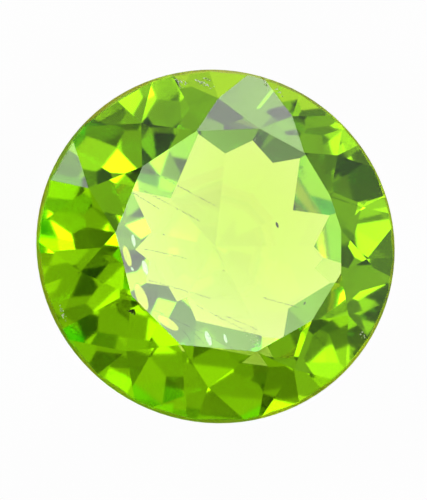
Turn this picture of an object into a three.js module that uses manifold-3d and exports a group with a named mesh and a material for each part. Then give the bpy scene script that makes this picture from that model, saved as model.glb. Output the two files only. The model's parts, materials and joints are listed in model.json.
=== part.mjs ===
// A round brilliant peridot, 9 mm across, lying on one facet of its pavilion.
// It is cut by hand: the table sits off the girdle's centre, and no two facets of a kind are quite alike.
// It is made here as a lapidary makes it: a drum-shaped blank is ground flat on one plane after another.
// Lengths are in millimetres and angles in degrees. While the stone is cut, the origin is the middle of
// its girdle, +Z leaves the table, and azimuths turn from +X towards +Y.

import * as THREE from "three";
import { mergeVertices } from "three/addons/utils/BufferGeometryUtils.js";
import Module from "manifold-3d";

const wasm = await Module();
wasm.setup();

// The girdle, the stone's widest ring
const GIRDLE_RADIUS = 4.5;
const OUT_OF_ROUND = 0.013; // how far the longest radius is past the mean one, as a share of it
const LONG_AXIS = 150;
const GIRDLE_THICKNESS = 0.18;
const GIRDLE_SIDES = 96;
const BLANK_HEIGHT = 12;

// The crown, above the girdle
const TABLE_HEIGHT = 1.27;
const TABLE_CENTRE = new THREE.Vector3(0.34, 0.14, TABLE_HEIGHT);
const STAR_CENTRE = new THREE.Vector3(0.18, 0.08, 0);
const STAR_REACH = 3.65; // in plan, from STAR_CENTRE to the outer tips of the star facets
const MAIN_TOUCH = 2.5; // half the arc of girdle that each crown main keeps

// Each crown main faces an azimuth, and starts at a corner of the table, given from the table's centre
const CROWN_MAINS = [
  { azimuth: 108, corner: 106.5, reach: 2.88 },
  { azimuth: 76.5, corner: 74.8, reach: 2.92 },
  { azimuth: 46, corner: 49.5, reach: 2.91 },
  { azimuth: 24.5, corner: 24, reach: 2.78 },
  { azimuth: 9, corner: 5.5, reach: 2.83 },
  { azimuth: -16, corner: -16, reach: 2.93 },
  { azimuth: -46, corner: -44, reach: 2.89 },
  { azimuth: -78, corner: -76, reach: 2.87 },
  { azimuth: -115, corner: -115, reach: 2.88 },
  { azimuth: -150.5, corner: -150.7, reach: 2.81 },
  { azimuth: -184, corner: -184.3, reach: 2.86 },
  { azimuth: -219.5, corner: -220.5, reach: 2.87 },
];

// The pavilion, below the girdle. Twelve ridges rise from the culet, with a main between each pair, and each
// ridge ends at a notch. A lower facet goes from each notch to the girdle: it faces an azimuth of its own.
const CULET = new THREE.Vector3(0, 0, -3.59);
const RIDGE_SLOPE = 32;
const RIDGES = [
  { azimuth: 133, reach: 1.67, faces: 122, slope: 42 },
  { azimuth: 84, reach: 2.37, faces: 88, slope: 45 },
  { azimuth: 55.5, reach: 2.57, faces: 61.5, slope: 42 },
  { azimuth: 25, reach: 2.17, faces: 31, slope: 37.6 },
  { azimuth: 0, reach: 2.5, faces: 4.6, slope: 38 },
  { azimuth: -12.5, reach: 2.58, faces: -11, slope: 36 },
  { azimuth: -40.5, reach: 2.43, faces: -37, slope: 43 },
  { azimuth: -63, reach: 2.58, faces: -67, slope: 43 },
  { azimuth: -119.5, reach: 1.49, faces: -108, slope: 40.5 },
  { azimuth: -140, reach: 1.57, faces: -135.5, slope: 41.4 },
  { azimuth: -168, reach: 1.72, faces: -163.5, slope: 41 },
  { azimuth: -192.5, reach: 1.67, faces: -193, slope: 41 },
];

// The widest pavilion main, which ends at the ridge of the same number. One more lower facet cuts its outer
// end, from the point of the main at this azimuth and reach. The stone lies on this main.
const WIDE_MAIN = 8;
const WIDE_MAIN_END = { azimuth: -98.9, reach: 1.95, faces: -93, slope: 39.8 };

// Chips that wear has left on the girdle's edge: the place, the height and the size of each scoop
const CHIPS = [
  { azimuth: 101.5, height: 0.12, radius: 0.16, bite: 0.07 },
  { azimuth: 98, height: 0.14, radius: 0.12, bite: 0.05 },
  { azimuth: 73, height: 0.12, radius: 0.22, bite: 0.1 },
  { azimuth: 152, height: 0.1, radius: 0.12, bite: 0.05 },
  { azimuth: -58, height: 0.1, radius: 0.14, bite: 0.05 },
];

const UP = new THREE.Vector3(0, 0, 1);
const LAP_SIZE = 4 * GIRDLE_RADIUS; // the block that each facet is ground with
const MERGE_WITHIN = 1e-3;
const HALF_GIRDLE = GIRDLE_THICKNESS / 2;
const { degToRad } = THREE.MathUtils;

// A step in plan from a place, at the same height.
function stepFrom(place, azimuth, reach) {
  const angle = degToRad(azimuth);
  return new THREE.Vector3(place.x + reach * Math.cos(angle), place.y + reach * Math.sin(angle), place.z);
}

function girdleReach(azimuth) {
  return GIRDLE_RADIUS * (1 + OUT_OF_ROUND * Math.cos(degToRad(2 * (azimuth - LONG_AXIS))));
}

function onGirdle(azimuth, height) {
  return stepFrom(new THREE.Vector3(0, 0, height), azimuth, girdleReach(azimuth));
}

// The azimuth halfway between a facet and the next, which comes clockwise after it.
function halfway(azimuth, next) {
  const gap = THREE.MathUtils.euclideanModulo(azimuth - next, 360);
  return azimuth - gap / 2;
}

// A facet that faces an azimuth: its slope is measured from the table's plane, and side is 1 on the crown.
function facetAt(azimuth, slope, point, side) {
  const normal = new THREE.Vector3(0, 0, side * Math.cos(degToRad(slope)));
  return { normal: stepFrom(normal, azimuth, Math.sin(degToRad(slope))), point };
}

// A facet through three points. The origin is inside the stone, so the normal that leaves it points outwards.
function facetThrough(a, b, c) {
  const normal = b.clone().sub(a).cross(c.clone().sub(a)).normalize();
  if (normal.dot(a) < 0) normal.negate();
  return { normal, point: a };
}

// The point on the common edge of two facets that is a given reach from a centre, in plan. It is found by
// walking out along the edge, the way that both facets face, from a point that is on both.
function outAlongEdge(first, second, start, centre, reach) {
  const edge = first.normal.clone().cross(second.normal);
  const offset = start.clone().sub(centre);
  const outward = first.normal.clone().add(second.normal);
  if (edge.x * outward.x + edge.y * outward.y < 0) edge.negate();
  const a = edge.x ** 2 + edge.y ** 2;
  const b = edge.x * offset.x + edge.y * offset.y;
  const c = offset.x ** 2 + offset.y ** 2 - reach ** 2;
  const walk = (-b + Math.sqrt(b ** 2 - a * c)) / a;
  return start.clone().addScaledVector(edge, walk);
}

// The point that three facets share.
function meet(first, second, third) {
  const [n1, n2, n3] = [first.normal, second.normal, third.normal];
  const sum = n2.clone().cross(n3).multiplyScalar(n1.dot(first.point));
  sum.addScaledVector(n3.clone().cross(n1), n2.dot(second.point));
  sum.addScaledVector(n1.clone().cross(n2), n3.dot(third.point));
  return sum.divideScalar(n1.dot(n2.clone().cross(n3)));
}

const table = { normal: UP.clone(), point: new THREE.Vector3(0, 0, TABLE_HEIGHT) };

// The crown's facets: mains from the table's corners to the girdle, a star on each side of the table, and
// two upper facets from each star's tip to the girdle.
function crownFacets() {
  const mains = CROWN_MAINS.map(({ azimuth, corner, reach }) => {
    const start = stepFrom(TABLE_CENTRE, corner, reach);
    const facing = stepFrom(new THREE.Vector3(), azimuth, 1);
    const run = girdleReach(azimuth) - start.dot(facing);
    const slope = THREE.MathUtils.radToDeg(Math.atan2(TABLE_HEIGHT - HALF_GIRDLE, run));
    return { ...facetAt(azimuth, slope, start, 1), azimuth };
  });
  const facets = [table, ...mains];
  mains.forEach((main, i) => {
    const next = mains[(i + 1) % mains.length];
    const tip = outAlongEdge(main, next, meet(main, next, table), STAR_CENTRE, STAR_REACH);
    const middle = onGirdle(halfway(main.azimuth, next.azimuth), HALF_GIRDLE);
    facets.push(facetThrough(main.point, next.point, tip));
    facets.push(facetThrough(tip, onGirdle(main.azimuth - MAIN_TOUCH, HALF_GIRDLE), middle));
    facets.push(facetThrough(tip, onGirdle(next.azimuth + MAIN_TOUCH, HALF_GIRDLE), middle));
  });
  return facets;
}

// The points where the ridges from the culet end.
function notches() {
  return RIDGES.map(({ azimuth, reach }) => {
    const notch = stepFrom(CULET, azimuth, reach);
    notch.z += reach * Math.tan(degToRad(RIDGE_SLOPE));
    return notch;
  });
}

// The mains, each of them between a ridge and the one before it.
function pavilionMains() {
  const ends = notches();
  return ends.map((end, i) => facetThrough(CULET, ends.at(i - 1), end));
}

// The point of a pavilion main at an azimuth and a reach from the culet, in plan.
function pointOnMain({ normal }, azimuth, reach) {
  const step = stepFrom(new THREE.Vector3(), azimuth, reach);
  step.z = -normal.dot(step) / normal.z;
  return step.add(CULET);
}

// The pavilion's facets: the mains, and the lower facets that rise from them to the girdle.
function pavilionFacets() {
  const mains = pavilionMains();
  const lower = notches().map((notch, i) => facetAt(RIDGES[i].faces, RIDGES[i].slope, notch, -1));
  const { azimuth, reach, faces, slope } = WIDE_MAIN_END;
  lower.push(facetAt(faces, slope, pointOnMain(mains[WIDE_MAIN], azimuth, reach), -1));
  return [...mains, ...lower];
}

// A closed three.js shape as a solid that can be cut.
function solidOf(geometry) {
  const bare = geometry.clone();
  bare.deleteAttribute("normal");
  bare.deleteAttribute("uv");
  const merged = mergeVertices(bare, MERGE_WITHIN);
  const vertProperties = new Float32Array(merged.attributes.position.array);
  const triVerts = new Uint32Array(merged.index.array);
  return new wasm.Manifold(new wasm.Mesh({ numProp: 3, vertProperties, triVerts }));
}

// The drum that the stone is cut from: a cylinder a little longer along one axis.
function blank() {
  const drum = new THREE.CylinderGeometry(1, 1, BLANK_HEIGHT, GIRDLE_SIDES);
  drum.rotateX(Math.PI / 2);
  drum.scale(girdleReach(LONG_AXIS), girdleReach(LONG_AXIS + 90), 1);
  drum.rotateZ(degToRad(LONG_AXIS));
  return solidOf(drum);
}

// What the lap takes away to leave one flat facet: a block that stands on the facet's plane.
function lapOn({ normal, point }) {
  const block = new THREE.BoxGeometry(LAP_SIZE, LAP_SIZE, LAP_SIZE);
  block.translate(0, 0, LAP_SIZE / 2);
  block.applyQuaternion(new THREE.Quaternion().setFromUnitVectors(UP, normal));
  const foot = normal.clone().multiplyScalar(point.dot(normal));
  block.translate(foot.x, foot.y, foot.z);
  return solidOf(block);
}

// A chip's scoop, a rough ball that bites into the girdle's edge. No two lie the same way round.
function scoop({ azimuth, height, radius, bite }) {
  const ball = new THREE.IcosahedronGeometry(radius, 1);
  ball.rotateX(degToRad(azimuth));
  const centre = stepFrom(new THREE.Vector3(0, 0, height), azimuth, girdleReach(azimuth) + radius - bite);
  ball.translate(centre.x, centre.y, centre.z);
  return solidOf(ball);
}

function cutStone() {
  const cuts = [...crownFacets(), ...pavilionFacets()].map(lapOn);
  cuts.push(...CHIPS.map(scoop));
  return cuts.reduce((stone, cut) => stone.subtract(cut), blank());
}

// The cut solid as a three.js geometry.
function geometryOf(solid) {
  const { vertProperties, numProp, triVerts } = solid.getMesh();
  const geometry = new THREE.BufferGeometry();
  const vertices = new THREE.InterleavedBuffer(vertProperties, numProp);
  geometry.setAttribute("position", new THREE.InterleavedBufferAttribute(vertices, 3, 0));
  geometry.setIndex(new THREE.BufferAttribute(triVerts, 1));
  return geometry;
}

// Lays the stone down on its widest main, with the table turned to -Y and the box's base at the origin.
function layDown(stone) {
  const resting = pavilionMains()[WIDE_MAIN].normal;
  const down = new THREE.Quaternion().setFromUnitVectors(resting, UP.clone().negate());
  const tableNow = UP.clone().applyQuaternion(down);
  const spin = new THREE.Quaternion().setFromAxisAngle(UP, -Math.PI / 2 - Math.atan2(tableNow.y, tableNow.x));
  stone.quaternion.copy(spin.multiply(down));
  const box = new THREE.Box3().setFromObject(stone, true);
  const centre = box.getCenter(new THREE.Vector3());
  stone.position.set(-centre.x, -centre.y, -box.min.z);
}

const peridot = new THREE.Mesh(
  geometryOf(cutStone()),
  new THREE.MeshStandardMaterial({ color: 0x8fd01a, roughness: 0.05, metalness: 0 }),
);
peridot.name = "peridot";
layDown(peridot);

const gem = new THREE.Group();
gem.add(peridot);

export default gem;
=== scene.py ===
"""A loose peridot that lies face up on a pale lit floor, with the camera square to its table."""

import json
import math
import random

import bmesh
import bpy
from bpy.props import (
    FloatProperty,
    FloatVectorProperty,
    IntProperty,
    PointerProperty,
)
from mathutils import Matrix, Vector
from mathutils.bvhtree import BVHTree
from mathutils.kdtree import KDTree


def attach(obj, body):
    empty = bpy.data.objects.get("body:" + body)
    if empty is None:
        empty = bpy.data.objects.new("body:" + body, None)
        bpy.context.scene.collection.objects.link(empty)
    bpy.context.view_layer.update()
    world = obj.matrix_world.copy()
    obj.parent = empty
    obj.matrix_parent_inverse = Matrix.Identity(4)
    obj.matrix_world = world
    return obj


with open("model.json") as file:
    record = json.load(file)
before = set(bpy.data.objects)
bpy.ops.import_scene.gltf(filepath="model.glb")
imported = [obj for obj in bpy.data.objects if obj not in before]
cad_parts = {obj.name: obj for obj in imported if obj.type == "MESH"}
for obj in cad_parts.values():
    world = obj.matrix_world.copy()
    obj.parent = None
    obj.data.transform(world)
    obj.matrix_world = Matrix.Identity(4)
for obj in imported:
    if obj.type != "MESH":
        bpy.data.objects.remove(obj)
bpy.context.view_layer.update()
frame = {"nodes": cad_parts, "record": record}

bl_info = {
    "name": "Peridot",
    "version": (1, 0, 0),
    "blender": (4, 5, 0),
    "location": "View3D > Sidebar > Peridot",
    "description": "Polishes a loose peridot, adds its inclusions and sets up its studio",
    "category": "Add Mesh",
}

MM = 0.001
STONE = "peridot"

# While the stone is cut, its frame has the origin in the middle of the girdle, +Z out of the table and +Y at
# the top of the picture. The inclusions, the lights and the camera are placed in that frame.
TABLE_MIDDLE = Vector((0.34, 0.14, 1.27)) * MM
PICTURE_ROLL = math.radians(1.25)

# The middle of the picture, seen from the middle of the girdle
PICTURE_MIDDLE = Vector((-0.05, -0.09, 0)) * MM

# Trails of fine needles just under the table: start and end in mm, in the stone's frame
NEEDLE_TRAILS = [
    ((-1.76, 1.96), (0.04, 1.0)),
    ((-2.03, 1.53), (-0.39, 0.64)),
    ((-2.11, 1.38), (-1.43, 0.95)),
    ((-1.83, -0.06), (-0.75, -0.29)),
    ((-1.66, -0.85), (-0.14, -1.3)),
    ((-0.45, -1.5), (0.75, -2.11)),
    ((0.3, -1.77), (1.06, -2.1)),
    ((1.19, -1.29), (2.1, -1.54)),
    ((-0.83, -2.09), (-0.52, -2.5)),
    ((-0.56, -2.12), (-0.27, -2.47)),
    ((-1.11, -1.8), (0.43, -2.56)),
    ((-1.55, -1.59), (-1.3, -1.71)),
]

# Clouds of bright specks under the table: start and end in mm
SPARKLES = [
    ((0.86, -2.12), (1.06, -2.6)),
    ((0.98, 2.66), (1.02, 2.69)),
]

# Bruises on the crown near the girdle: start and end in mm, seen from above
BRUISES = [
    ((-1.06, 4.24), (-0.72, 4.1)),
    ((-0.98, 4.2), (-0.84, 4.02)),
    ((-0.5, 4.2), (-0.06, 3.98)),
    ((-0.3, 4.26), (-0.12, 4.2)),
    ((1.2, 4.2), (1.35, 3.98)),
    ((1.53, 4.0), (1.66, 3.82)),
    ((3.68, -2.2), (3.78, -2.3)),
    ((-3.92, -1.5), (-3.8, -1.85)),
]

# Small dark crystals under the table: place and length in mm, and turn in degrees
DARK_CRYSTALS = [
    ((1.55, 0.54), 0.18, 110),
    ((-2.09, -1.6), 0.2, 20),
    ((-2.02, -1.66), 0.13, 80),
    ((-2.06, -1.63), 0.16, 50),
    ((2.24, -1.43), 0.11, 60),
    ((-1.3, 0.3), 0.06, 150),
    ((0.2, -0.6), 0.05, 10),
]

# How thick a dark crystal is beside its length, and how deep the crystals and the clear lenses lie beside the
# needles
CRYSTAL_THICKNESS = 0.4
CRYSTAL_DEPTH = 2
LENS_DEPTH = 1.5

# The lamp that the healed cracks mirror: picture azimuth and angle from the table's axis, in degrees
PAD_LAMP = (0, 18)

# Healed cracks, pale flat lenses: place, half length, half width in mm, and turn in degrees
LILY_PADS = [
    ((-2.06, 0.15), 0.16, 0.05, 100),
    ((-1.77, -0.53), 0.19, 0.07, 105),
    ((-2.09, -0.57), 0.06, 0.03, 120),
    ((0.25, -2.32), 0.12, 0.04, 105),
    ((-0.18, -2.31), 0.2, 0.07, 110),
]

# How thick a lens is beside its width, and the finish of a crack that is full of air
LENS_FLATNESS = 0.008
HALF_MIRROR = {"roughness": 0.1, "mirror": 1.0, "cover": 0.45}

# Clear flat lenses by the table's edge, in the same order
CLEAR_LENSES = [
    ((-1.86, -1.27), 0.37, 0.14, 112),
    ((-1.2, -1.92), 0.33, 0.12, -33),
    ((-2.22, -0.24), 0.28, 0.09, 107),
]

# How far a bead is stretched: the least and the most
BEAD_STRETCH = ((0.4, 0.4, 0.4), (1.5, 1.1, 1.1))

# Patches per metre of the girdle's worn edge, of the minerals' mottling and of the floor's unevenness, how
# far the worn edge strays beside its reach, and the dark patches' tone beside the bright ones'
WEAR_SCALE = 2500
WEAR_STRAY = 0.3
MOTTLE_SCALE = 9000
MOTTLE_TONE = 0.6
FLOOR_SCALE = 150
FLOOR_TONE = 0.97

# Softboxes that the facets mirror: picture azimuth and angle from the table's axis, both in degrees, then the
# half angle that each covers, and its brightness beside the floor's
SOFTBOXES = [
    ("facet_softbox", 77, 70, 19, 3.4),
    ("rim_softbox", 151, 71, 4, 3.0),
]

# Where the room is lit: picture azimuth and angle from the table's axis, in degrees, and how far round from
# there the light begins and is full, as cosines
ROOM_LIGHT = (50, 80)
ROOM_FADE = (-0.5, 0.6)

# Things in the room that the dome shows: picture azimuth and angle from the table's axis of each one's
# middle, the half angle that it covers, all in degrees, and its tone. A later one stands before an earlier.
ROOM_THINGS = [
    ("window on the left", 165, 70, 18, 5.0),
    ("lamps above the camera", 110, 35, 6, 5.0),
    ("bright shelf on the right", 10, 50, 5, 3.5),
    ("grey card below the camera", -110, 22, 8, 0.45),
    ("camera and its hood", 0, 0, 13, 0.45),
    ("lamp beside the camera", *PAD_LAMP, 6, 3.5),
]


class StoneSettings(bpy.types.PropertyGroup):
    """The crystal and its polish."""

    ior: FloatProperty(name="Refractive Index", description="Of peridot", default=1.67, min=1.0)
    body_colour: FloatVectorProperty(
        name="Body Colour",
        description="What white light becomes along one colour depth of crystal",
        subtype="COLOR",
        default=(0.91, 0.985, 0.55),
        min=0,
        max=1,
    )
    colour_depth: FloatProperty(
        name="Colour Depth",
        description="The way through the crystal that gives the body colour",
        unit="LENGTH",
        default=1 * MM,
    )
    polish: FloatProperty(name="Polish", description="Roughness of the facets", default=0.045)
    girdle_frost: FloatProperty(
        name="Girdle Frost",
        description="Roughness of the ground girdle and its worn edge",
        default=0.45,
    )
    girdle_edge: FloatProperty(
        name="Girdle Edge",
        description="How far from the girdle's middle its worn edge reaches, along the stone's axis",
        unit="LENGTH",
        default=0.14 * MM,
    )
    girdle_colour: FloatVectorProperty(
        name="Girdle Colour",
        description="Of the light that the ground girdle lets through",
        subtype="COLOR",
        default=(0.9, 0.42, 0.1),
        min=0,
        max=1,
    )


class InclusionSettings(bpy.types.PropertyGroup):
    """What is inside the crystal."""

    depth: FloatProperty(
        name="Depth",
        description="How far the inclusions lie under the table",
        unit="LENGTH",
        default=0.12 * MM,
    )
    bead_size: FloatProperty(
        name="Needle Bead Size",
        description="Radius of the beads that a needle is broken into",
        unit="LENGTH",
        default=0.014 * MM,
    )
    bead_spacing: FloatProperty(
        name="Needle Bead Spacing",
        description="From one bead of a needle to the next",
        unit="LENGTH",
        default=0.03 * MM,
    )
    scatter: FloatProperty(
        name="Needle Scatter",
        description="How far the beads stray from the needle's line",
        unit="LENGTH",
        default=0.012 * MM,
    )
    needle_colour: FloatVectorProperty(
        name="Needle Colour",
        description="Of the needles and the dark crystals",
        subtype="COLOR",
        default=(0.03, 0.05, 0.01),
        min=0,
        max=1,
    )
    pad_colour: FloatVectorProperty(
        name="Lily Pad Colour",
        description="Of the healed cracks",
        subtype="COLOR",
        default=(0.42, 0.62, 0.42),
        min=0,
        max=1,
    )
    lens_colour: FloatVectorProperty(
        name="Clear Lens Colour",
        description="Of the clear lenses by the table's edge",
        subtype="COLOR",
        default=(0.5, 0.62, 0.05),
        min=0,
        max=1,
    )
    bruise_size: FloatProperty(
        name="Bruise Size",
        description="Radius of the white grains of a bruise, and of the bright specks",
        unit="LENGTH",
        default=0.03 * MM,
    )
    bruise_colour: FloatVectorProperty(
        name="Bruise Colour",
        description="Of the bruises and the bright specks",
        subtype="COLOR",
        default=(0.92, 1.0, 0.82),
        min=0,
        max=1,
    )
    seed: IntProperty(name="Seed", description="Of the scattered beads", default=4)


class StudioSettings(bpy.types.PropertyGroup):
    """The floor, the lights and the camera."""

    camera_distance: FloatProperty(
        name="Camera Distance",
        description="From the girdle's middle to the camera",
        unit="LENGTH",
        default=200 * MM,
    )
    picture_height: FloatProperty(
        name="Picture Height",
        description="What the picture's height covers at the girdle",
        unit="LENGTH",
        default=12.64 * MM,
    )
    floor_radius: FloatProperty(
        name="Floor Radius",
        description="From the stone to the floor's turned-up edge",
        unit="LENGTH",
        default=350 * MM,
    )
    edge_height: FloatProperty(
        name="Edge Height",
        description="How high the floor's edge rises",
        unit="LENGTH",
        default=50 * MM,
    )
    floor_glow: FloatProperty(name="Floor Glow", description="Of the lit floor", default=1.0)
    floor_colour: FloatVectorProperty(
        name="Floor Colour",
        description="Of the floor, and of its glow",
        subtype="COLOR",
        default=(1.0, 1.0, 1.0),
        min=0,
        max=1,
    )
    light_distance: FloatProperty(
        name="Light Distance",
        description="From the girdle's middle to each softbox",
        unit="LENGTH",
        default=300 * MM,
    )
    dome_radius: FloatProperty(
        name="Dome Radius",
        description="From the girdle's middle to the dome's panels",
        unit="LENGTH",
        default=500 * MM,
    )
    panel_count: IntProperty(
        name="Panels",
        description="How many panels a whole ball of them would have",
        default=480,
    )
    panel_seed: IntProperty(name="Panel Seed", description="Of the panels' tones", default=29)
    contrast: FloatProperty(
        name="Panel Contrast",
        description="How few of the panels are bright",
        default=2.8,
    )
    panel_glow: FloatProperty(
        name="Panel Glow",
        description="Brightness of the brightest panels beside the floor's",
        default=1.9,
    )
    lean: FloatVectorProperty(
        name="Panel Lean",
        description="How much brighter the panels are to the right and to the top of the picture",
        size=2,
        default=(-0.9, 0.4),
    )
    card_width: FloatProperty(
        name="Card Width",
        description="Of the graded card that the table mirrors",
        unit="LENGTH",
        default=44 * MM,
    )
    card_fade: FloatProperty(
        name="Card Fade",
        description="How wide the step from the card's bright side to its dim side is",
        unit="LENGTH",
        default=16 * MM,
    )
    card_tones: FloatVectorProperty(
        name="Card Tones",
        description="Of the dim upper right and the bright lower left of the card",
        size=2,
        default=(1.7, 4.6),
    )
    room_glow: FloatVectorProperty(
        name="Room Glow",
        description="Of the dark lower left and the dim upper right of the room that the facets mirror",
        size=2,
        default=(0.02, 0.4),
    )


def stone_frame():
    """The matrix from the frame that the stone was cut in to the row frame."""
    mounts = {mount["name"]: mount for mount in frame["record"]["mounts"]}
    facing = Vector(mounts["table"]["axis"]).normalized()
    across = Vector((0, 1, 0)).cross(facing).normalized()
    columns = Matrix((across, facing.cross(across), facing)).transposed()
    turn = columns @ Matrix.Rotation(PICTURE_ROLL, 3, "Z")
    middle = Vector(mounts["table"]["pos_m"]) - turn @ TABLE_MIDDLE
    return Matrix.Translation(middle) @ turn.to_4x4()


def direction(azimuth, off_axis):
    """A direction in the stone's frame, by picture azimuth and angle from the table's axis in degrees."""
    a, t = math.radians(azimuth), math.radians(off_axis)
    return Vector((math.sin(t) * math.cos(a), math.sin(t) * math.sin(a), math.cos(t)))


def under_table(place, depth):
    """A place in mm in the picture's plane, put under the table, in the row frame."""
    point = Vector((place[0] * MM, place[1] * MM, TABLE_MIDDLE.z - depth))
    return stone_frame() @ point


def in_crown(surface, place, depth):
    """A place in mm in the picture's plane, put at a depth in the crown, in the row frame."""
    start = stone_frame() @ Vector((place[0] * MM, place[1] * MM, 2 * TABLE_MIDDLE.z))
    down = stone_frame().to_3x3() @ Vector((0, 0, -1))
    hit = surface.ray_cast(start, down)[0]
    if hit is None:
        raise RuntimeError(f"{place} is beside the stone")
    return hit + depth * down


def link_object(name, data):
    """Puts a new object in the scene, at the origin."""
    obj = bpy.data.objects.new(name, data)
    bpy.context.scene.collection.objects.link(obj)
    return obj


def ride_stone(obj):
    """Makes a piece part of the stone."""
    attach(obj, "root")


def new_material(name):
    """An empty node material, and the nodes and links to fill it with."""
    material = bpy.data.materials.new(name)
    material.use_nodes = True
    nodes = material.node_tree.nodes
    nodes.clear()
    return material, nodes, material.node_tree.links


def frost_mask(nodes, links, edge):
    """One on the ground girdle, and zero on the facets past the girdle's uneven worn edge."""
    place = nodes.new("ShaderNodeTexCoord").outputs["Object"]
    middle = stone_frame().translation
    facing = stone_frame().to_3x3() @ Vector((0, 0, 1))
    height = nodes.new("ShaderNodeVectorMath")
    height.operation = "DOT_PRODUCT"
    height.inputs[1].default_value = facing
    links.new(place, height.inputs[0])
    centred = nodes.new("ShaderNodeMath")
    centred.operation = "SUBTRACT"
    centred.inputs[1].default_value = middle.dot(facing)
    links.new(height.outputs["Value"], centred.inputs[0])
    size = nodes.new("ShaderNodeMath")
    size.operation = "ABSOLUTE"
    links.new(centred.outputs[0], size.inputs[0])
    noise = nodes.new("ShaderNodeTexNoise")
    noise.inputs["Scale"].default_value = WEAR_SCALE
    links.new(place, noise.inputs["Vector"])
    uneven = nodes.new("ShaderNodeMath")
    uneven.operation = "MULTIPLY_ADD"
    uneven.inputs[1].default_value = WEAR_STRAY * edge
    links.new(noise.outputs["Fac"], uneven.inputs[0])
    links.new(size.outputs[0], uneven.inputs[2])
    ramp = nodes.new("ShaderNodeMapRange")
    ramp.inputs["From Min"].default_value = edge
    ramp.inputs["From Max"].default_value = (1 + WEAR_STRAY) * edge
    ramp.inputs["To Min"].default_value = 1.0
    ramp.inputs["To Max"].default_value = 0.0
    links.new(uneven.outputs[0], ramp.inputs["Value"])
    return ramp.outputs["Result"]


def crystal_material(settings):
    """See-through crystal with its body colour, polished facets and a frosted girdle."""
    material, nodes, links = new_material("peridot_crystal")
    out = nodes.new("ShaderNodeOutputMaterial")
    crystal = nodes.new("ShaderNodeBsdfPrincipled")
    crystal.inputs["Transmission Weight"].default_value = 1
    crystal.inputs["IOR"].default_value = settings.ior
    frost = frost_mask(nodes, links, settings.girdle_edge)
    tint = nodes.new("ShaderNodeMix")
    tint.data_type = "RGBA"
    tint.inputs[6].default_value = (1, 1, 1, 1)
    tint.inputs[7].default_value = (*settings.girdle_colour, 1)
    links.new(frost, tint.inputs[0])
    links.new(tint.outputs[2], crystal.inputs["Base Color"])
    roughness = nodes.new("ShaderNodeMapRange")
    roughness.inputs["To Min"].default_value = settings.polish
    roughness.inputs["To Max"].default_value = settings.girdle_frost
    links.new(frost, roughness.inputs["Value"])
    links.new(roughness.outputs["Result"], crystal.inputs["Roughness"])
    links.new(crystal.outputs["BSDF"], out.inputs["Surface"])
    losses = [-math.log(share) / settings.colour_depth for share in settings.body_colour]
    density = max(losses)
    body = nodes.new("ShaderNodeVolumeAbsorption")
    body.inputs["Color"].default_value = (*[1 - loss / density for loss in losses], 1)
    body.inputs["Density"].default_value = density
    links.new(body.outputs["Volume"], out.inputs["Volume"])
    return material


def mineral_material(name, colour, roughness, mirror=0.0, cover=1.0):
    """Something inside the crystal, with a mottled colour. A thin crack full of air is half a mirror."""
    material, nodes, links = new_material(name)
    out = nodes.new("ShaderNodeOutputMaterial")
    shader = nodes.new("ShaderNodeBsdfPrincipled")
    shader.inputs["Roughness"].default_value = roughness
    shader.inputs["Metallic"].default_value = mirror
    shader.inputs["Alpha"].default_value = cover
    place = nodes.new("ShaderNodeTexCoord")
    noise = nodes.new("ShaderNodeTexNoise")
    noise.inputs["Scale"].default_value = MOTTLE_SCALE
    ramp = nodes.new("ShaderNodeValToRGB")
    ramp.color_ramp.elements[0].color = (*[MOTTLE_TONE * c for c in colour], 1)
    ramp.color_ramp.elements[1].color = (*colour, 1)
    links.new(place.outputs["Object"], noise.inputs["Vector"])
    links.new(noise.outputs["Fac"], ramp.inputs["Fac"])
    links.new(ramp.outputs["Color"], shader.inputs["Base Color"])
    links.new(shader.outputs["BSDF"], out.inputs["Surface"])
    return material


def random_node(nodes, links, kind, low, high, seed, identity):
    """A Random Value node with its range, its seed and an ID that keeps it apart from the others."""
    node = nodes.new("FunctionNodeRandomValue")
    node.data_type = kind
    sockets = [s for s in node.inputs if s.enabled]
    if kind == "BOOLEAN":
        links.new(low, sockets[0])
    else:
        sockets[0].default_value = low
        sockets[1].default_value = high
    add = nodes.new("FunctionNodeIntegerMath")
    add.operation = "ADD"
    links.new(seed, add.inputs[0])
    add.inputs[1].default_value = identity
    links.new(add.outputs[0], sockets[-1])
    return next(s for s in node.outputs if s.enabled)


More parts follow.
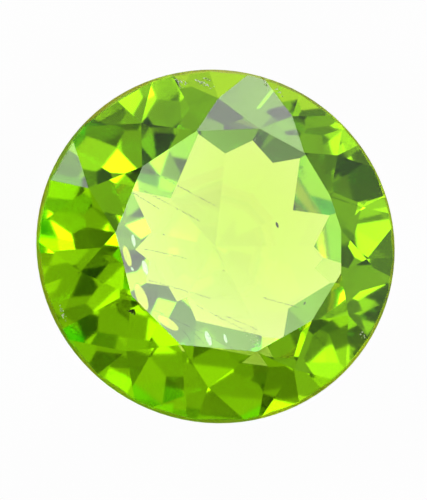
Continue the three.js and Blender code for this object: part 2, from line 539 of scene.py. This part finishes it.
def bead_tree(material):
    """The node tree that breaks each line of a mesh into a row of scattered beads."""
    tree = bpy.data.node_groups.new("Needle Beads", "GeometryNodeTree")
    face = tree.interface
    face.new_socket("Geometry", in_out="INPUT", socket_type="NodeSocketGeometry")
    for name in ("Spacing", "Bead Size", "Scatter", "Kept Share"):
        face.new_socket(name, in_out="INPUT", socket_type="NodeSocketFloat")
    face.new_socket("Seed", in_out="INPUT", socket_type="NodeSocketInt")
    face.new_socket("Geometry", in_out="OUTPUT", socket_type="NodeSocketGeometry")
    nodes, links = tree.nodes, tree.links
    given = nodes.new("NodeGroupInput").outputs
    curve = nodes.new("GeometryNodeMeshToCurve")
    links.new(given["Geometry"], curve.inputs["Mesh"])
    points = nodes.new("GeometryNodeCurveToPoints")
    points.mode = "LENGTH"
    links.new(curve.outputs["Curve"], points.inputs["Curve"])
    links.new(given["Spacing"], points.inputs["Length"])
    stray = random_node(nodes, links, "FLOAT_VECTOR", (-1, -1, -1), (1, 1, 1), given["Seed"], 1)
    scale = nodes.new("ShaderNodeVectorMath")
    scale.operation = "SCALE"
    links.new(stray, scale.inputs[0])
    links.new(given["Scatter"], scale.inputs["Scale"])
    move = nodes.new("GeometryNodeSetPosition")
    links.new(points.outputs["Points"], move.inputs["Geometry"])
    links.new(scale.outputs["Vector"], move.inputs["Offset"])
    bead = nodes.new("GeometryNodeMeshIcoSphere")
    bead.inputs["Subdivisions"].default_value = 1
    links.new(given["Bead Size"], bead.inputs["Radius"])
    spread = nodes.new("GeometryNodeInstanceOnPoints")
    links.new(move.outputs["Geometry"], spread.inputs["Points"])
    links.new(bead.outputs["Mesh"], spread.inputs["Instance"])
    kept = random_node(nodes, links, "BOOLEAN", given["Kept Share"], None, given["Seed"], 2)
    links.new(kept, spread.inputs["Selection"])
    sizes = random_node(nodes, links, "FLOAT_VECTOR", *BEAD_STRETCH, given["Seed"], 3)
    links.new(sizes, spread.inputs["Scale"])
    realize = nodes.new("GeometryNodeRealizeInstances")
    links.new(spread.outputs["Instances"], realize.inputs["Geometry"])
    finish = nodes.new("GeometryNodeSetMaterial")
    finish.inputs["Material"].default_value = material
    links.new(realize.outputs["Geometry"], finish.inputs["Geometry"])
    result = nodes.new("NodeGroupOutput")
    links.new(finish.outputs["Geometry"], result.inputs["Geometry"])
    return tree


def apply_tree(obj, tree, values):
    """Runs a node tree on an object with its named inputs, and keeps the result as a plain mesh."""
    modifier = obj.modifiers.new(tree.name, "NODES")
    modifier.node_group = tree
    for item in tree.interface.items_tree:
        if item.in_out == "INPUT" and item.name in values:
            modifier[item.identifier] = values[item.name]
    graph = bpy.context.evaluated_depsgraph_get()
    result = bpy.data.meshes.new_from_object(obj.evaluated_get(graph))
    obj.modifiers.remove(modifier)
    obj.data = result
    if not result.polygons:
        raise RuntimeError(f"{obj.name} came out empty")


def bead_values(spacing, size, scatter, kept_share, seed):
    """The bead tree's inputs by name: lengths in metres, and the share of the beads that is kept."""
    return {
        "Spacing": spacing,
        "Bead Size": size,
        "Scatter": scatter,
        "Kept Share": kept_share,
        "Seed": seed,
    }


def scatter_beads(name, lines, material, values):
    """Adds a piece of loose beads along straight lines, given by their end points."""
    points = [end for line in lines for end in line]
    edges = [(i, i + 1) for i in range(0, len(points), 2)]
    mesh = bpy.data.meshes.new(name)
    mesh.from_pydata(points, edges, [])
    beads = link_object(name, mesh)
    apply_tree(beads, bead_tree(material), values)
    ride_stone(beads)


def add_grain(mesh, matrix, detail):
    """Adds a small ball, stretched and placed by a matrix."""
    bmesh.ops.create_icosphere(mesh, subdivisions=detail, radius=1, matrix=matrix)


def add_lenses(name, rows, depth, ior, material):
    """Adds a piece of flat lenses, tilted to mirror the lamp beside the camera."""
    azimuth, off_axis = PAD_LAMP
    inside = math.degrees(math.asin(math.sin(math.radians(off_axis)) / ior))
    tilt = Vector((0, 0, 1)).rotation_difference(direction(azimuth, inside / 2)).to_matrix()
    lenses = bmesh.new()
    for place, length, width, turn in rows:
        centre = Matrix.Translation(under_table(place, depth))
        spin = Matrix.Rotation(math.radians(turn), 3, "Z")
        lie = (stone_frame().to_3x3() @ tilt @ spin).to_4x4()
        stretch = Matrix.Diagonal((length * MM, width * MM, LENS_FLATNESS * width * MM, 1))
        add_grain(lenses, centre @ lie @ stretch, 3)
    mesh = bpy.data.meshes.new(name)
    lenses.to_mesh(mesh)
    lenses.free()
    mesh.polygons.foreach_set("use_smooth", [True] * len(mesh.polygons))
    mesh.materials.append(material)
    ride_stone(link_object(name, mesh))


class PERIDOT_OT_polish_stone(bpy.types.Operator):
    """Give the cut stone its clear crystal, its polish and its frosted girdle"""

    bl_idname = "peridot.polish_stone"
    bl_label = "Polish Stone"

    def execute(self, context):
        stone = frame["nodes"][STONE]
        stone.data.materials.clear()
        stone.data.materials.append(crystal_material(context.scene.peridot_stone))
        return {"FINISHED"}


class PERIDOT_OT_add_needles(bpy.types.Operator):
    """Add the trails of fine dark needles under the table"""

    bl_idname = "peridot.add_needles"
    bl_label = "Add Needle Trails"

    def execute(self, context):
        settings = context.scene.peridot_inclusions
        lines = [[under_table(end, settings.depth) for end in trail] for trail in NEEDLE_TRAILS]
        sizes = settings.bead_spacing, settings.bead_size, settings.scatter
        values = bead_values(*sizes, kept_share=0.8, seed=settings.seed)
        material = mineral_material("dark_needle", settings.needle_colour, 0.6)
        scatter_beads("needle_trails", lines, material, values)
        return {"FINISHED"}


class PERIDOT_OT_add_sparkles(bpy.types.Operator):
    """Add the clouds of bright specks under the table"""

    bl_idname = "peridot.add_sparkles"
    bl_label = "Add Bright Specks"

    def execute(self, context):
        settings = context.scene.peridot_inclusions
        lines = [[under_table(end, settings.depth) for end in line] for line in SPARKLES]
        grain = settings.bruise_size
        values = bead_values(0.8 * grain, 0.6 * grain, 3 * grain, kept_share=0.9, seed=settings.seed + 1)
        material = mineral_material("bright_speck", settings.bruise_colour, 0.3)
        scatter_beads("bright_specks", lines, material, values)
        return {"FINISHED"}


class PERIDOT_OT_add_bruises(bpy.types.Operator):
    """Add the white bruises on the crown near the girdle"""

    bl_idname = "peridot.add_bruises"
    bl_label = "Add Bruises"

    def execute(self, context):
        settings = context.scene.peridot_inclusions
        grain = settings.bruise_size
        stone = frame["nodes"][STONE].data
        faces = [tuple(face.vertices) for face in stone.polygons]
        surface = BVHTree.FromPolygons([vert.co.copy() for vert in stone.vertices], faces)
        lines = [[in_crown(surface, end, 0.5 * grain) for end in line] for line in BRUISES]
        values = bead_values(0.45 * grain, 0.7 * grain, 1.5 * grain, kept_share=0.7, seed=settings.seed + 2)
        material = mineral_material("bruise", settings.bruise_colour, 0.5, cover=0.6)
        scatter_beads("bruises", lines, material, values)
        return {"FINISHED"}


class PERIDOT_OT_add_crystals(bpy.types.Operator):
    """Add the small dark crystals under the table"""

    bl_idname = "peridot.add_crystals"
    bl_label = "Add Dark Crystals"

    def execute(self, context):
        settings = context.scene.peridot_inclusions
        grains = bmesh.new()
        for place, length, turn in DARK_CRYSTALS:
            centre = Matrix.Translation(under_table(place, CRYSTAL_DEPTH * settings.depth))
            lie = stone_frame().to_3x3() @ Matrix.Rotation(math.radians(turn), 3, "Z")
            half = 0.5 * length * MM
            thin = CRYSTAL_THICKNESS * half
            stretch = Matrix.Diagonal((half, thin, thin, 1))
            add_grain(grains, centre @ lie.to_4x4() @ stretch, 1)
        mesh = bpy.data.meshes.new("dark_crystals")
        grains.to_mesh(mesh)
        grains.free()
        mesh.materials.append(mineral_material("dark_crystal", settings.needle_colour, 0.3))
        ride_stone(link_object("dark_crystals", mesh))
        return {"FINISHED"}


class PERIDOT_OT_add_lily_pads(bpy.types.Operator):
    """Add the pale healed cracks and the clear lenses under the table"""

    bl_idname = "peridot.add_lily_pads"
    bl_label = "Add Lily Pads"

    def execute(self, context):
        settings = context.scene.peridot_inclusions
        ior = context.scene.peridot_stone.ior
        milky = mineral_material("healed_crack", settings.pad_colour, **HALF_MIRROR)
        add_lenses("lily_pads", LILY_PADS, settings.depth, ior, milky)
        clear = mineral_material("clear_lens", settings.lens_colour, **HALF_MIRROR)
        add_lenses("clear_lenses", CLEAR_LENSES, LENS_DEPTH * settings.depth, ior, clear)
        return {"FINISHED"}


def floor_profile(radius, height):
    """The floor's section from its middle to the top of its turned-up edge."""
    bend = height / 2
    profile = [(share * (radius - bend), 0) for share in (0, 0.05, 0.25, 1)]
    for i in range(1, 7):
        angle = math.radians(15 * i)
        profile.append((radius - bend + bend * math.sin(angle), bend * (1 - math.cos(angle))))
    profile.append((radius, height))
    return profile


def lit_floor_material(settings):
    """Pale floor that is lit from below, with a faint unevenness."""
    material, nodes, links = new_material("lit_floor")
    out = nodes.new("ShaderNodeOutputMaterial")
    place = nodes.new("ShaderNodeTexCoord")
    noise = nodes.new("ShaderNodeTexNoise")
    noise.inputs["Scale"].default_value = FLOOR_SCALE
    links.new(place.outputs["Object"], noise.inputs["Vector"])
    strength = nodes.new("ShaderNodeMapRange")
    strength.inputs["To Min"].default_value = settings.floor_glow
    strength.inputs["To Max"].default_value = FLOOR_TONE * settings.floor_glow
    links.new(noise.outputs["Fac"], strength.inputs["Value"])
    glow = nodes.new("ShaderNodeEmission")
    glow.inputs["Color"].default_value = (*settings.floor_colour, 1)
    links.new(strength.outputs["Result"], glow.inputs["Strength"])
    links.new(glow.outputs["Emission"], out.inputs["Surface"])
    material.cycles.emission_sampling = "NONE"
    return material


def add_floor(settings):
    """The floor, a wide dish of pale lit sheet."""
    dish = bmesh.new()
    profile = floor_profile(settings.floor_radius, settings.edge_height)
    ring = [dish.verts.new((reach, 0, height)) for reach, height in profile]
    edges = [dish.edges.new(pair) for pair in zip(ring, ring[1:])]
    turn = {"cent": (0, 0, 0), "axis": (0, 0, 1), "angle": math.tau, "steps": 96}
    bmesh.ops.spin(dish, geom=ring + edges, use_merge=True, **turn)
    bmesh.ops.remove_doubles(dish, verts=dish.verts, dist=0.01 * MM)
    bmesh.ops.recalc_face_normals(dish, faces=dish.faces)
    mesh = bpy.data.meshes.new("lit_floor")
    dish.to_mesh(mesh)
    dish.free()
    mesh.materials.append(lit_floor_material(settings))
    lit_floor = link_object("lit_floor", mesh)
    lit_floor.visible_glossy = False


def panel_directions(count):
    """Directions in the stone's frame, on one spiral that covers a ball evenly."""
    directions = []
    for i in range(count):
        height = 1 - 2 * (i + 0.5) / count
        reach = math.sqrt(1 - height**2)
        angle = math.pi * (1 + math.sqrt(5)) * (i + 0.5)
        directions.append(Vector((reach * math.cos(angle), reach * math.sin(angle), height)))
    return directions


def panel_tones(settings, directions):
    """How bright the panel in each direction is."""
    draw = random.Random(settings.panel_seed)
    tones = []
    for towards in directions:
        lean = settings.lean[0] * towards.x + settings.lean[1] * towards.y
        tones.append(max(draw.random() ** settings.contrast * (settings.panel_glow + lean), 0))
    for name, azimuth, off_axis, half_angle, tone in ROOM_THINGS:
        middle = direction(azimuth, off_axis)
        reach = math.radians(half_angle)
        covered = [i for i, towards in enumerate(directions) if towards.angle(middle) < reach]
        if not covered:
            raise RuntimeError(f"the {name} is smaller than a panel")
        for i in covered:
            tones[i] = tone
    return tones


def panel_material():
    """Lit panels, each as bright as its own tone."""
    material, nodes, links = new_material("dome_panels")
    out = nodes.new("ShaderNodeOutputMaterial")
    tone = nodes.new("ShaderNodeAttribute")
    tone.attribute_name = "tone"
    glow = nodes.new("ShaderNodeEmission")
    links.new(tone.outputs["Fac"], glow.inputs["Strength"])
    links.new(glow.outputs["Emission"], out.inputs["Surface"])
    material.cycles.emission_sampling = "NONE"
    return material


def add_dome(settings):
    """The dome of bright and dark panels that show through the stone. Its facets don't mirror it outside."""
    directions = panel_directions(settings.panel_count)
    tones = panel_tones(settings, directions)
    tree = KDTree(len(directions))
    for i, towards in enumerate(directions):
        tree.insert(towards, i)
    tree.balance()
    ball = bmesh.new()
    bmesh.ops.create_icosphere(ball, subdivisions=6, radius=settings.dome_radius)
    tone = ball.faces.layers.float.new("tone")
    for face in ball.faces:
        nearest = tree.find(face.calc_center_median().normalized())[1]
        face[tone] = tones[nearest]
    ball.transform(stone_frame())
    mesh = bpy.data.meshes.new("panel_dome")
    ball.to_mesh(mesh)
    ball.free()
    mesh.materials.append(panel_material())
    dome = link_object("panel_dome", mesh)
    dome.visible_camera = False
    dome.visible_glossy = False


def add_card(settings):
    """A card round the camera that veils the table, brighter at the lower left of the picture."""
    card = bmesh.new()
    bmesh.ops.create_grid(card, x_segments=40, y_segments=40, size=settings.card_width / 2)
    tone = card.verts.layers.float.new("tone")
    dim, bright = settings.card_tones
    for vert in card.verts:
        share = 0.5 - (vert.co.x + vert.co.y) / math.sqrt(2) / settings.card_fade
        share = min(max(share, 0), 1)
        vert[tone] = dim + (bright - dim) * share * share * (3 - 2 * share)
    card.transform(stone_frame() @ Matrix.Translation((0, 0, settings.light_distance)))
    mesh = bpy.data.meshes.new("table_card")
    card.to_mesh(mesh)
    card.free()
    mesh.materials.append(panel_material())
    table_card = link_object("table_card", mesh)
    table_card.visible_camera = False
    table_card.visible_transmission = False


def add_softbox(name, azimuth, off_axis, half_angle, brightness, distance):
    """A round soft light that faces the stone."""
    lamp = bpy.data.lights.new(name, "AREA")
    lamp.shape = "DISK"
    lamp.size = 2 * distance * math.tan(math.radians(half_angle))
    area = math.pi * lamp.size**2 / 4
    lamp.energy = brightness * area * math.pi
    light = link_object(name, lamp)
    towards = stone_frame().to_3x3() @ direction(azimuth, off_axis)
    light.rotation_euler = towards.to_track_quat("Z", "Y").to_euler()
    light.location = stone_frame().translation + distance * towards
    light.visible_camera = False
    light.visible_transmission = False


def add_room(glow):
    """The dark room that the facets mirror, dimly lit at the upper right of the picture."""
    world = bpy.data.worlds.new("room")
    world.use_nodes = True
    nodes, links = world.node_tree.nodes, world.node_tree.links
    towards = nodes.new("ShaderNodeTexCoord")
    side = nodes.new("ShaderNodeVectorMath")
    side.operation = "DOT_PRODUCT"
    side.inputs[1].default_value = stone_frame().to_3x3() @ direction(*ROOM_LIGHT)
    links.new(towards.outputs["Generated"], side.inputs[0])
    strength = nodes.new("ShaderNodeMapRange")
    strength.interpolation_type = "SMOOTHSTEP"
    strength.inputs["From Min"].default_value = ROOM_FADE[0]
    strength.inputs["From Max"].default_value = ROOM_FADE[1]
    strength.inputs["To Min"].default_value = glow[0]
    strength.inputs["To Max"].default_value = glow[1]
    links.new(side.outputs["Value"], strength.inputs["Value"])
    links.new(strength.outputs["Result"], nodes["Background"].inputs["Strength"])
    nodes["Background"].inputs["Color"].default_value = (1, 1, 1, 1)
    bpy.context.scene.world = world


def add_camera(settings):
    """The camera, square to the table."""
    data = bpy.data.cameras.new("camera")
    data.sensor_width = 36
    data.lens = data.sensor_width * settings.camera_distance / settings.picture_height
    data.clip_start = 0.01
    camera = link_object("camera", data)
    place = PICTURE_MIDDLE + Vector((0, 0, settings.camera_distance))
    camera.matrix_world = stone_frame() @ Matrix.Translation(place)
    bpy.context.scene.camera = camera


def set_light_paths():
    """Lets light bounce often enough inside the stone, and shows colours as they are."""
    scene = bpy.context.scene
    scene.view_settings.view_transform = "Standard"
    scene.cycles.max_bounces = 32
    scene.cycles.glossy_bounces = 24
    scene.cycles.transmission_bounces = 24
    scene.cycles.transparent_max_bounces = 16


class PERIDOT_OT_build_studio(bpy.types.Operator):
    """Add the lit floor, the dome of panels, the table's card, the softboxes, the room and the camera"""

    bl_idname = "peridot.build_studio"
    bl_label = "Build Studio"

    def execute(self, context):
        settings = context.scene.peridot_studio
        add_floor(settings)
        add_dome(settings)
        add_card(settings)
        for softbox in SOFTBOXES:
            add_softbox(*softbox, settings.light_distance)
        add_room(settings.room_glow)
        add_camera(settings)
        set_light_paths()
        return {"FINISHED"}


class PERIDOT_PT_sidebar(bpy.types.Panel):
    """The stone's settings and the steps that make it"""

    bl_idname = "PERIDOT_PT_sidebar"
    bl_label = "Peridot"
    bl_space_type = "VIEW_3D"
    bl_region_type = "UI"
    bl_category = "Peridot"

    def draw(self, context):
        for settings in (
            context.scene.peridot_stone,
            context.scene.peridot_inclusions,
            context.scene.peridot_studio,
        ):
            box = self.layout.box()
            for prop in settings.bl_rna.properties:
                if prop.identifier not in ("name", "rna_type"):
                    box.prop(settings, prop.identifier)
        for step in STEPS:
            self.layout.operator(step.bl_idname)


STEPS = [
    PERIDOT_OT_polish_stone,
    PERIDOT_OT_add_needles,
    PERIDOT_OT_add_sparkles,
    PERIDOT_OT_add_bruises,
    PERIDOT_OT_add_crystals,
    PERIDOT_OT_add_lily_pads,
    PERIDOT_OT_build_studio,
]
CLASSES = [StoneSettings, InclusionSettings, StudioSettings, *STEPS, PERIDOT_PT_sidebar]


def register():
    """Registers the classes and puts the settings on the scene."""
    for cls in CLASSES:
        bpy.utils.register_class(cls)
    bpy.types.Scene.peridot_stone = PointerProperty(type=StoneSettings)
    bpy.types.Scene.peridot_inclusions = PointerProperty(type=InclusionSettings)
    bpy.types.Scene.peridot_studio = PointerProperty(type=StudioSettings)


def unregister():
    """Takes away what register added."""
    del bpy.types.Scene.peridot_studio
    del bpy.types.Scene.peridot_inclusions
    del bpy.types.Scene.peridot_stone
    for cls in reversed(CLASSES):
        bpy.utils.unregister_class(cls)


def main():
    """Makes the whole scene."""
    register()
    bpy.ops.peridot.polish_stone()
    bpy.ops.peridot.add_needles()
    bpy.ops.peridot.add_sparkles()
    bpy.ops.peridot.add_bruises()
    bpy.ops.peridot.add_crystals()
    bpy.ops.peridot.add_lily_pads()
    bpy.ops.peridot.build_studio()


if __name__ == "__main__":
    main()
